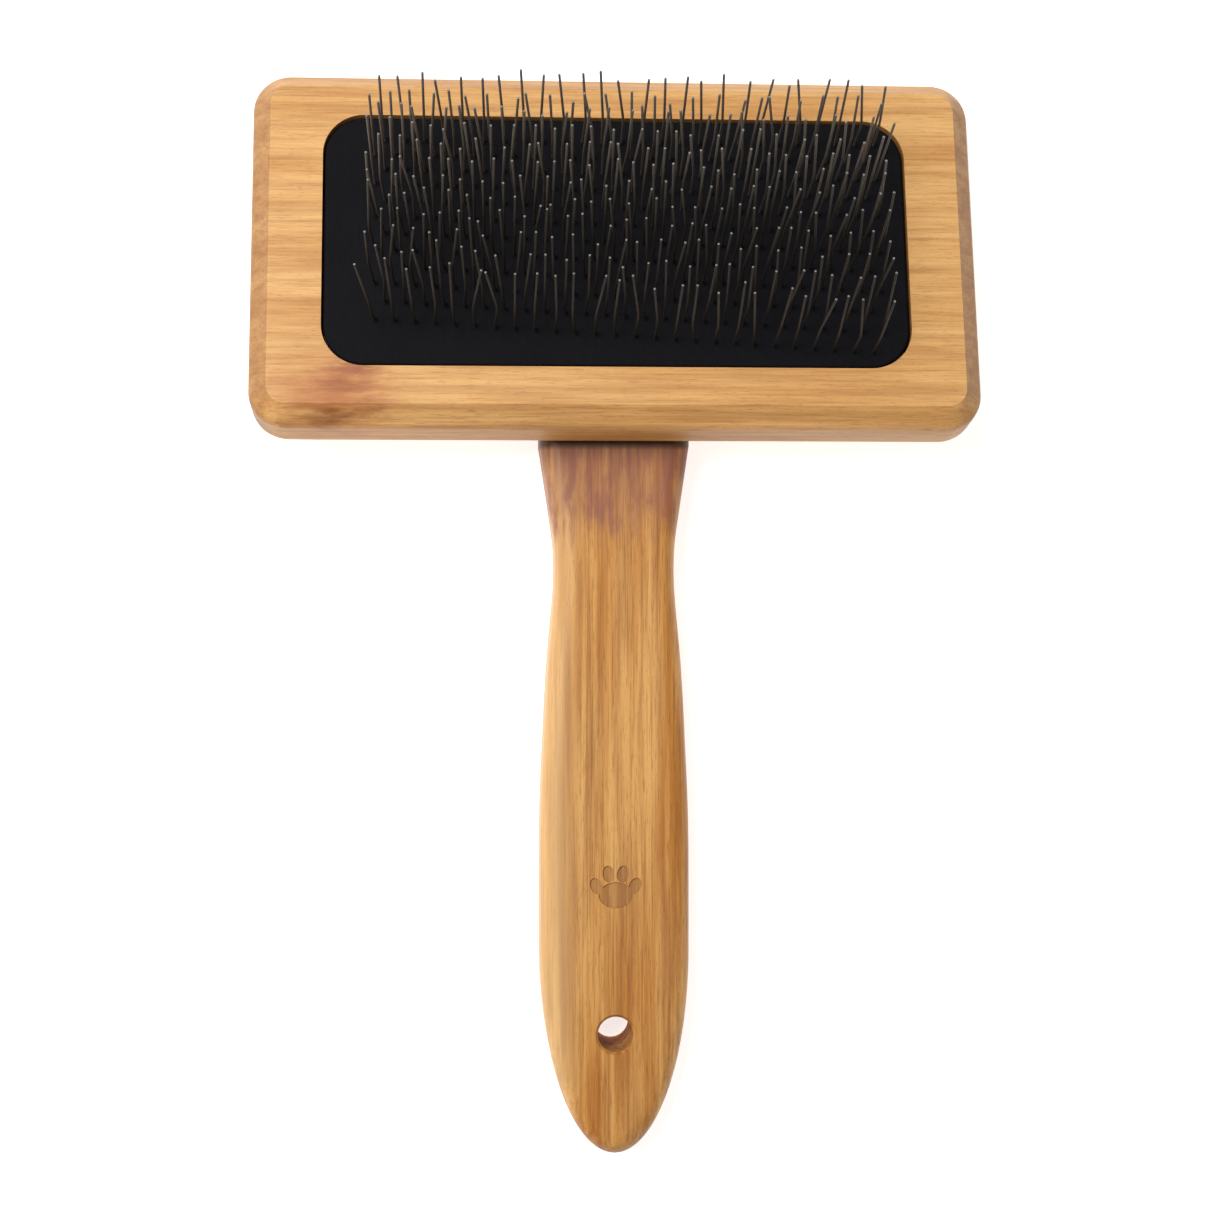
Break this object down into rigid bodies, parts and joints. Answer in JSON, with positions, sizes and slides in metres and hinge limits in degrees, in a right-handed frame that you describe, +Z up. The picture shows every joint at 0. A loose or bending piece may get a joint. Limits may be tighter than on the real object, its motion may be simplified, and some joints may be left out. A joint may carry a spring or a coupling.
{
  "type": "slicker brush",
  "caption": "Wooden slicker brush for grooming pets: a wide bamboo head with a cushioned rubber pad of fine bent wire pins, on a waisted bamboo handle with a hang hole.",
  "frame": {"origin": "bottom centre of the whole brush as it lies on its back, pins up", "axes": "+Y from the end of the handle towards the pin head, +X to the right seen from above, +Z up out of the pin side, perpendicular to the handle's flat back"},
  "size_m": [0.115, 0.1728, 0.0381],
  "materials": {
    "head_bamboo": "satin bamboo, grain across the head",
    "handle_bamboo": "satin bamboo, grain along the handle, darker node zone by the head",
    "pad_rubber": "matt black rubber",
    "pad_cloth": "woven cotton foundation",
    "foam": "soft open-cell foam",
    "tape": "double-sided adhesive tape",
    "pin_wire": "drawn stainless wire",
    "screw_steel": "zinc-plated steel"
  },
  "bodies": {
    "brush_body": {"handle": "handle_bamboo", "head_back_ply": "head_bamboo", "head_front_ply": "head_bamboo", "handle_screws": "screw_steel", "foam_tape": "tape", "foam_cushion": "foam"},
    "pin_pad": {"pad_cloth": "pad_cloth", "pad_rubber_face": "pad_rubber", "pin_row_01": "pin_wire", "pin_row_02": "pin_wire", "pin_row_03": "pin_wire", "pin_row_04": "pin_wire", "pin_row_05": "pin_wire", "pin_row_06": "pin_wire", "pin_row_07": "pin_wire", "pin_row_08": "pin_wire", "pin_row_09": "pin_wire", "pin_row_10": "pin_wire", "pin_row_11": "pin_wire", "pin_row_12": "pin_wire"}
  },
  "joints": [
    {"name": "pad_press", "type": "slide", "parent": "brush_body", "child": "pin_pad", "axis": [0, 0.2305, 0.9731], "range_m": [-0.0015, 0], "stiffness_N_per_m": 6000, "deforming": ["foam_cushion"]}
  ]
}
